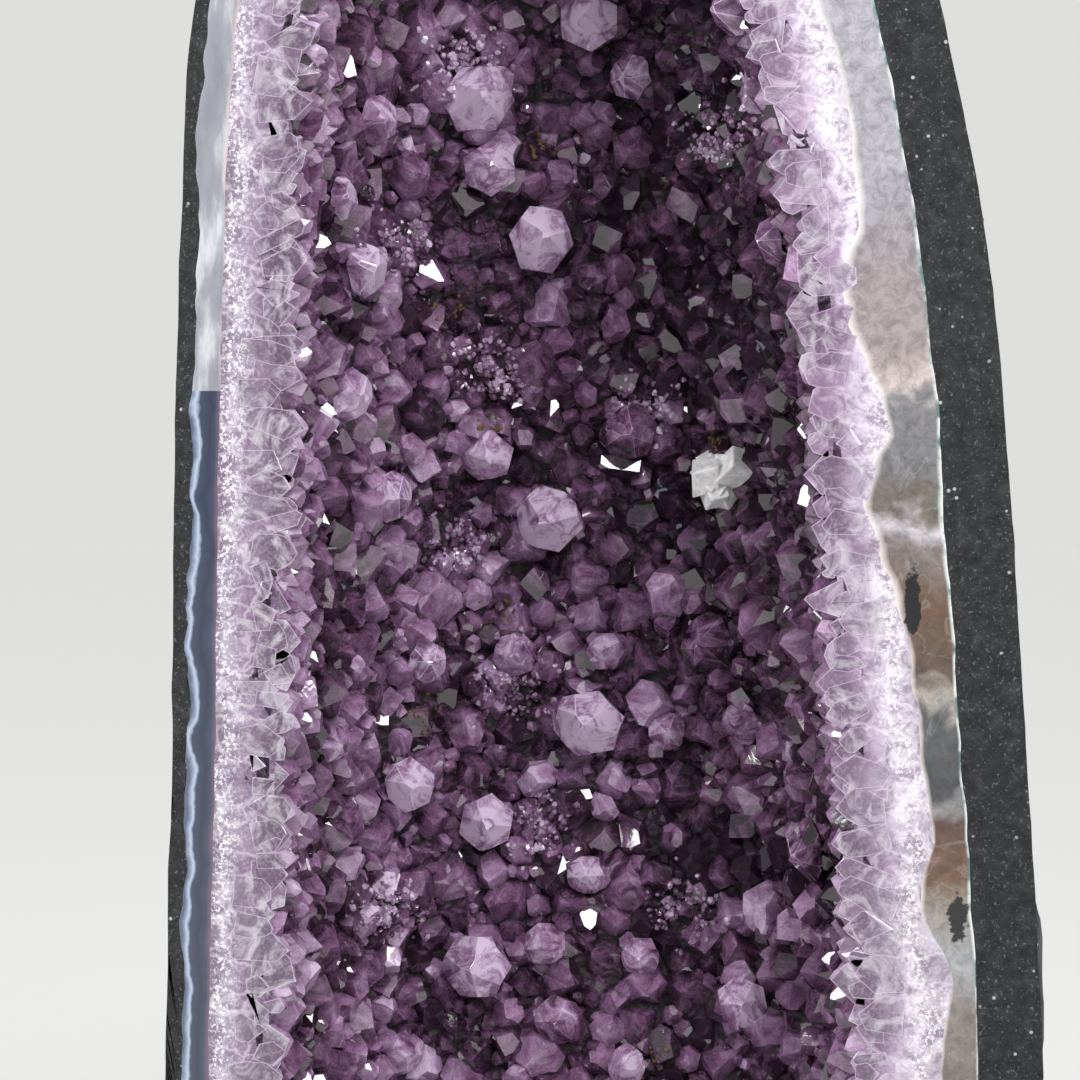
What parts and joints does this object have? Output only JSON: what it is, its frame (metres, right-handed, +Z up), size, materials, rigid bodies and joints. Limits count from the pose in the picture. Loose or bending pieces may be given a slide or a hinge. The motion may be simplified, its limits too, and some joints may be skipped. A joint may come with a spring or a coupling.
{
  "type": "amethyst geode",
  "caption": "Tall cut cathedral geode with a flat sawn face and base: basalt rind, agate and quartz bands, and a deep cavity lined with amethyst points.",
  "frame": {"origin": "on the sawn base, level with the middle of its width, 58 mm behind the sawn face", "axes": "+Z up along the stone's height, -Y out of the sawn face, +X to the right as seen by someone facing the sawn face"},
  "size_m": [0.2121, 0.132, 0.4804],
  "materials": {
    "basalt_rind": "rough, pitted, dark charcoal",
    "agate_band": "polished, banded blue-grey to grey, cloudy",
    "quartz_band": "sugary, white at the outside to lilac",
    "amethyst_druse": "glassy facets, deep violet",
    "amethyst_crystal": "glassy facets, cloudy lilac to violet",
    "calcite_crystal": "broken, white, sparkling"
  },
  "bodies": {
    "root": {"basalt_rind": "basalt_rind", "agate_band": "agate_band", "quartz_band": "quartz_band", "amethyst_druse": "amethyst_druse", "amethyst_crystal_01": "amethyst_crystal", "amethyst_crystal_02": "amethyst_crystal", "amethyst_crystal_03": "amethyst_crystal", "amethyst_crystal_04": "amethyst_crystal", "amethyst_crystal_05": "amethyst_crystal", "amethyst_crystal_06": "amethyst_crystal", "amethyst_crystal_07": "amethyst_crystal", "amethyst_crystal_08": "amethyst_crystal", "amethyst_crystal_09": "amethyst_crystal", "amethyst_crystal_10": "amethyst_crystal", "amethyst_crystal_11": "amethyst_crystal", "amethyst_crystal_12": "amethyst_crystal", "amethyst_crystal_13": "amethyst_crystal", "amethyst_crystal_14": "amethyst_crystal", "amethyst_crystal_15": "amethyst_crystal", "amethyst_crystal_16": "amethyst_crystal", "amethyst_crystal_17": "amethyst_crystal", "amethyst_crystal_18": "amethyst_crystal", "amethyst_crystal_19": "amethyst_crystal", "amethyst_crystal_20": "amethyst_crystal", "amethyst_crystal_21": "amethyst_crystal", "amethyst_crystal_22": "amethyst_crystal", "amethyst_crystal_23": "amethyst_crystal", "amethyst_crystal_24": "amethyst_crystal", "amethyst_crystal_25": "amethyst_crystal", "amethyst_crystal_26": "amethyst_crystal", "amethyst_crystal_27": "amethyst_crystal", "amethyst_crystal_28": "amethyst_crystal", "amethyst_crystal_29": "amethyst_crystal", "amethyst_crystal_30": "amethyst_crystal", "amethyst_crystal_31": "amethyst_crystal", "amethyst_crystal_32": "amethyst_crystal", "amethyst_crystal_33": "amethyst_crystal", "amethyst_crystal_34": "amethyst_crystal", "amethyst_crystal_35": "amethyst_crystal", "amethyst_crystal_36": "amethyst_crystal", "amethyst_crystal_37": "amethyst_crystal", "amethyst_crystal_38": "amethyst_crystal", "amethyst_crystal_39": "amethyst_crystal", "amethyst_crystal_40": "amethyst_crystal", "amethyst_crystal_41": "amethyst_crystal", "calcite_crystal": "calcite_crystal"}
  },
  "joints": []
}
